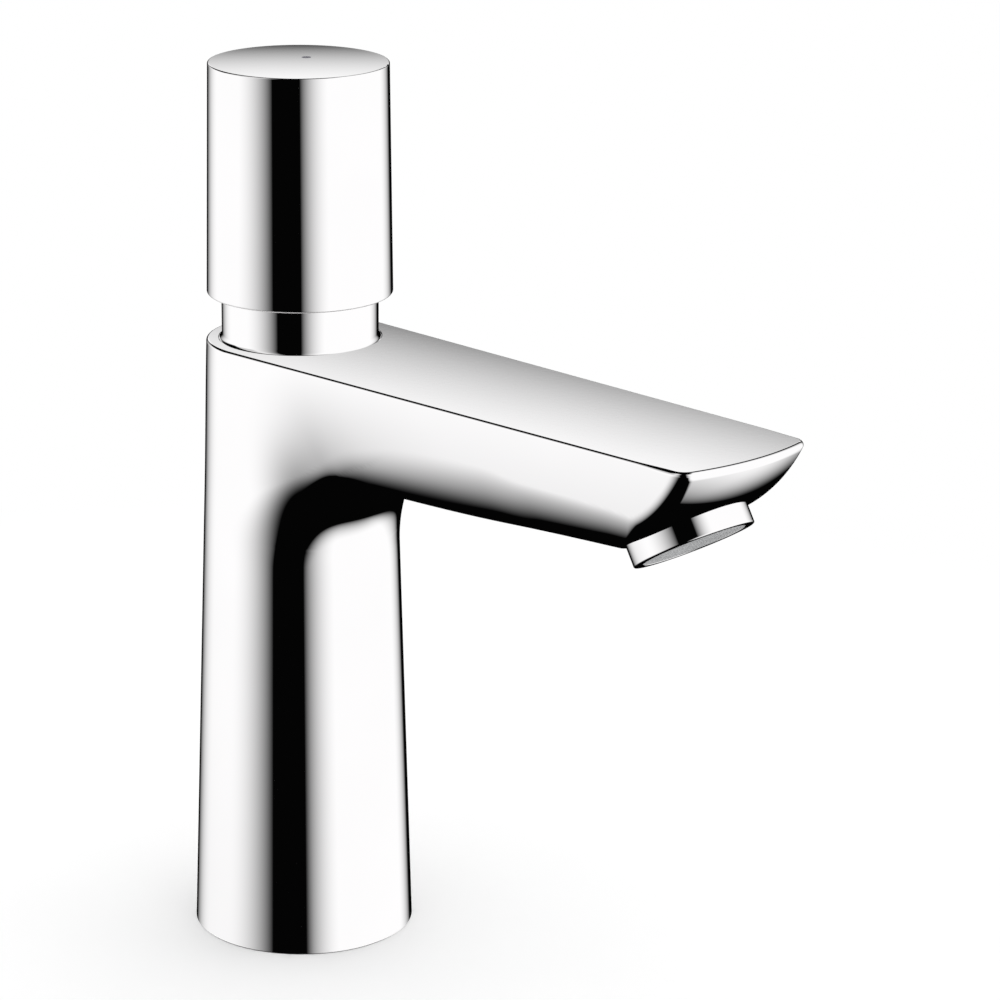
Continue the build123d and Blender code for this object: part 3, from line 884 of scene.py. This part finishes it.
def rubber():
    m = Mat("black_rubber")
    n = m.noise(1800.0, 6.0, 0.65)
    m.colour(m.noise(120.0, 3.0), (0.016, 0.016, 0.017), (0.034, 0.033, 0.032))
    m.ramp(n, 0.55, 0.82, to="Roughness")
    m.bump(n, 0.35, 0.00006)
    return m.m


def plastic(name, c0, c1, rough=(0.32, 0.5), grain=1400.0, strength=0.12):
    m = Mat(name)
    n = m.noise(grain, 4.0, 0.5)
    m.colour(m.noise(90.0, 3.0), c0, c1)
    m.ramp(n, rough[0], rough[1], to="Roughness")
    m.bump(n, strength, 0.00003)
    m.put("IOR", 1.49)
    return m.m


def zinc():
    m = Mat("zinc_plate")
    m.put("Metallic", 1.0)
    v = m.voronoi(420.0)
    m.colour(v, (0.50, 0.52, 0.54), (0.68, 0.70, 0.72), 0.1, 0.9)
    m.ramp(v, 0.28, 0.45, 0.0, 1.0, to="Roughness")
    m.bump(m.noise(1500.0, 4.0), 0.15, 0.00003)
    return m.m


MATS = {
    "chromed_brass": chrome(),
    "brass": brushed("turned_brass", (0.70, 0.50, 0.24), (0.84, 0.64, 0.34), (0.22, 0.38)),
    "stainless": brushed("turned_steel", (0.56, 0.56, 0.56), (0.68, 0.68, 0.67), (0.22, 0.36)),
    "zinc_steel": zinc(),
    "rubber": rubber(),
    "plastic_dark": plastic("black_plastic", (0.020, 0.020, 0.022), (0.034, 0.034, 0.036)),
    "plastic_pale": plastic("white_plastic", (0.70, 0.70, 0.67), (0.80, 0.80, 0.78)),
    "plastic_grey": plastic("grey_plastic", (0.40, 0.405, 0.41), (0.50, 0.505, 0.51), (0.38, 0.55)),
    "marker_blue": plastic("marker_blue", (0.125, 0.122, 0.150), (0.155, 0.150, 0.185), (0.45, 0.6), 2400.0, 0.06),
}
slots = {s["node"]: s["material_slot"] for s in frame["record"]["subparts"]}
replaced = {"body": body, "push_cap": cap, "cap_marker": marker, "neck_sleeve": neck, "aerator_ring": ring, "aerator_insert": grid}
for name, ob in {**frame["nodes"], **replaced}.items():
    ob.data.materials.clear()
    ob.data.materials.append(MATS[slots[name]])
    ob.visible_glossy = False

# painted highlight: the rounded lower edge of the cap is coloured pale grey, not chrome, so that it shows as a thin
# light line
edge_highlight_paint = Mat("edge_painted_highlight")
grain = edge_highlight_paint.noise(1600.0, 4.0)
edge_highlight_paint.colour(edge_highlight_paint.noise(140.0, 3.0), (0.60, 0.59, 0.59), (0.70, 0.69, 0.69))
edge_highlight_paint.ramp(grain, 0.42, 0.55, to="Roughness")
edge_highlight_paint.bump(grain, 0.08, 0.00003)
cap.data.materials.append(edge_highlight_paint.m)
# the faces of the lower edge rounding take the painted highlight colour
for p in cap.data.polygons:
    c = p.center
    if c.z < (CAP_Z0 + 0.27) * 0.001 and math.hypot(c.x, c.y) > 0.0182:
        p.material_index = 1

# ------------------------------------------------------------------ floor
def make_floor():
    me = bpy.data.meshes.new("floor")
    n, v, f = 96, [(0, 0, 0)], []
    radii = [0.03, 0.06, 0.1, 0.16, 0.25, 0.4, 0.7, 1.2]
    for r in radii:
        v += [(r * math.cos(2 * math.pi * k / n), -0.04 + r * math.sin(2 * math.pi * k / n), 0) for k in range(n)]
    for k in range(n):
        f.append((0, 1 + k, 1 + (k + 1) % n))
    for j in range(len(radii) - 1):
        a, b = 1 + j * n, 1 + (j + 1) * n
        for k in range(n):
            f.append((a + k, b + k, b + (k + 1) % n, a + (k + 1) % n))
    me.from_pydata(v, [], f)
    ob = bpy.data.objects.new("floor", me)
    bpy.context.scene.collection.objects.link(ob)
    m = Mat("pale_floor")
    m.put("Roughness", 0.9)
    m.put("Specular IOR Level", 0.0)
    # the floor fades into the pale backdrop away from the tap
    sep = m.n.new("ShaderNodeVectorMath")
    sep.operation = "LENGTH"
    m.t.links.new(m.co.outputs["Object"], sep.inputs[0])
    share = m.ramp(sep.outputs["Value"], 0.985, 0.0, 0.0, 0.30)
    paint = m.ramp(m.noise(30.0, 3.0), 0.955, 0.965)
    shade = m.n.new("ShaderNodeMath")
    shade.operation = "MULTIPLY"
    m.t.links.new(share, shade.inputs[0])
    m.t.links.new(paint, shade.inputs[1])
    m.t.links.new(shade.outputs["Value"], m.b.inputs["Base Color"])
    m.put("Emission Color", (1.0, 1.0, 1.0, 1.0))
    glow = m.n.new("ShaderNodeMath")
    glow.operation = "SUBTRACT"
    glow.inputs[0].default_value = 1.0
    m.t.links.new(share, glow.inputs[1])
    m.t.links.new(glow.outputs["Value"], m.b.inputs["Emission Strength"])
    me.materials.append(m.m)
    ob.visible_glossy = False
    return ob


make_floor()

# ------------------------------------------------------------------ light: soft cards round the tap
L = {
    "a1": 195.96, "a2": 230.45, "T1": 55.62, "T2": 41.91, "b1": 22.5, "b2": 68.22, "T3": 35.15, "T4": 41.66,
    "e1": -56.222, "Te1": 48.063, "e2": -67.188, "Te2": 22.131, "c1": 0.622, "c2": 0.956,
}
world = bpy.data.worlds.new("studio")
bpy.context.scene.world = world
world.use_nodes = True
wt = world.node_tree
wt.nodes.clear()


def socket(x):
    return x


def put_in(node, i, x):
    if isinstance(x, (int, float)):
        node.inputs[i].default_value = float(x)
    else:
        wt.links.new(x, node.inputs[i])


def math_node(op, a, b=None, c=None, clamp=False):
    n = wt.nodes.new("ShaderNodeMath")
    n.operation = op
    n.use_clamp = clamp
    put_in(n, 0, a)
    if b is not None:
        put_in(n, 1, b)
    if c is not None:
        put_in(n, 2, c)
    return n.outputs[0]


def add(a, b):
    return math_node("ADD", a, b)


def sub(a, b):
    return math_node("SUBTRACT", a, b)


def mul(a, b):
    return math_node("MULTIPLY", a, b)


def fall(t):
    """0 below 0, 1 above 1, and soft towards 1."""
    t = math_node("ADD", t, 0.0, clamp=True)
    return mul(t, sub(2.0, t))


def step01(x, lo, hi):
    t = mul(sub(x, lo), 1.0 / (hi - lo))
    t = math_node("ADD", t, 0.0, clamp=True)
    return mul(mul(t, t), sub(3.0, mul(t, 2.0)))


tc = wt.nodes.new("ShaderNodeTexCoord")
sp = wt.nodes.new("ShaderNodeSeparateXYZ")
wt.links.new(tc.outputs["Generated"], sp.inputs[0])
X_, Y_, Z_ = sp.outputs[0], sp.outputs[1], sp.outputs[2]
DEG = 180 / math.pi
az = math_node("WRAP", mul(math_node("ARCTAN2", Y_, X_), DEG), 360.0, 0.0)
el = mul(math_node("ARCSINE", Z_), DEG)
azb = math_node("WRAP", az, L["b1"] + 15 + 360, L["b1"] + 15)


def low_edge(angle, centre, e, c):
    k = math_node("MINIMUM", math_node("MAXIMUM", math_node("COSINE", mul(sub(angle, centre), 1 / DEG)), 0.05), 1.0)
    return mul(math_node("ARCTANGENT", mul(math_node("POWER", k, c), math.tan(math.radians(e)))), DEG)


t1 = low_edge(az, 130.0, L["e1"], L["c1"])
t2 = low_edge(azb, 309.0, L["e2"], L["c2"])
p1 = mul(
    mul(fall(mul(sub(az, L["b2"]), 1 / L["T4"])), fall(mul(sub(L["a1"], az), 1 / L["T1"]))),
    fall(mul(sub(el, t1), 1 / L["Te1"])),
)
# its upper edge is low at the side next to the dark gap
hi1 = add(16.0, mul(step01(az, 118.0, 142.0), 80.0))
p1 = mul(p1, fall(mul(sub(hi1, el), 1 / 10.0)))
p2 = mul(
    mul(fall(mul(sub(azb, L["a2"]), 1 / L["T2"])), fall(mul(sub(360 + L["b1"], azb), 1 / L["T3"]))),
    fall(mul(sub(el, t2), 1 / L["Te2"])),
)
# small soft light over the dark gap, which the flat faces show
inside = mul(step01(az, 24.0, 34.0), sub(1.0, step01(az, 60.0, 72.0)))
lowp = fall(mul(sub(el, 8.9), 1 / 5.0))
highp = fall(add(add(0.3648, mul(sub(az, 46.0), 0.1099)), mul(sub(el, 14.5), 0.4852)))
sw = step01(el, 12.6, 13.3)
p3 = add(mul(lowp, sub(1.0, sw)), mul(highp, sw))
p3 = mul(mul(p3, inside), sub(1.0, step01(el, 18.5, 22.0)))
# the cards end overhead
cards = add(p1, p2)
# high up behind the tap they shade off, so that level faces read grey from the front
behind = mul(step01(az, 100.0, 112.0), sub(1.0, step01(az, 150.0, 163.0)))
cards = mul(cards, sub(1.0, mul(mul(step01(el, 12.0, 19.0), behind), 0.40)))
total = mul(add(cards, p3), sub(1.0, step01(el, 58.0, 72.0)))
total = math_node("MINIMUM", math_node("MAXIMUM", mul(total, 1.01), 0.0012), 0.985)
total = mul(total, 1.0 / 0.94)
comb = wt.nodes.new("ShaderNodeCombineXYZ")
for i in range(3):
    wt.links.new(total, comb.inputs[i])
studio = wt.nodes.new("ShaderNodeBackground")
wt.links.new(comb.outputs[0], studio.inputs["Color"])
plain = wt.nodes.new("ShaderNodeBackground")
plain.inputs["Color"].default_value = (1.0, 1.0, 1.0, 1)
lp = wt.nodes.new("ShaderNodeLightPath")
put_in(plain, "Strength", add(1.0, mul(lp.outputs["Is Diffuse Ray"], 0.14)))
mix = wt.nodes.new("ShaderNodeMixShader")
outw = wt.nodes.new("ShaderNodeOutputWorld")
wt.links.new(lp.outputs["Is Glossy Ray"], mix.inputs[0])
wt.links.new(plain.outputs[0], mix.inputs[1])
wt.links.new(studio.outputs[0], mix.inputs[2])
wt.links.new(mix.outputs[0], outw.inputs[0])
world.cycles.sampling_method = "NONE"

# ------------------------------------------------------------------ camera
EL, ROLL = math.radians(17.099), math.radians(0.490)
h = np.array([0.6904, 0.7234])
h = h / np.linalg.norm(h)
right = np.array([h[1], -h[0], 0.0])
fwd = np.array([h[0] * math.cos(EL), h[1] * math.cos(EL), -math.sin(EL)])
upv = np.array([h[0] * math.sin(EL), h[1] * math.sin(EL), math.cos(EL)])
r2 = right * math.cos(ROLL) + upv * math.sin(ROLL)
u2 = upv * math.cos(ROLL) - right * math.sin(ROLL)
cd = bpy.data.cameras.new("camera")
cam = bpy.data.objects.new("camera", cd)
bpy.context.scene.collection.objects.link(cam)
cd.sensor_width = 36.0
cd.lens = 3958.104 * 36.0 / 1000.0
cd.clip_start, cd.clip_end = 0.01, 20.0
pos = (-0.5095, -0.5932, 0.3324)
cam.matrix_world = Matrix(
    (
        (r2[0], u2[0], -fwd[0], pos[0]),
        (r2[1], u2[1], -fwd[1], pos[1]),
        (r2[2], u2[2], -fwd[2], pos[2]),
        (0, 0, 0, 1),
    )
)
bpy.context.scene.camera = cam
bpy.context.scene.view_settings.view_transform = "Standard"
bpy.context.scene.view_settings.look = "None"

# the return spring gets a mesh of its own
spring = frame["nodes"]["return_spring"]
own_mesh(spring)
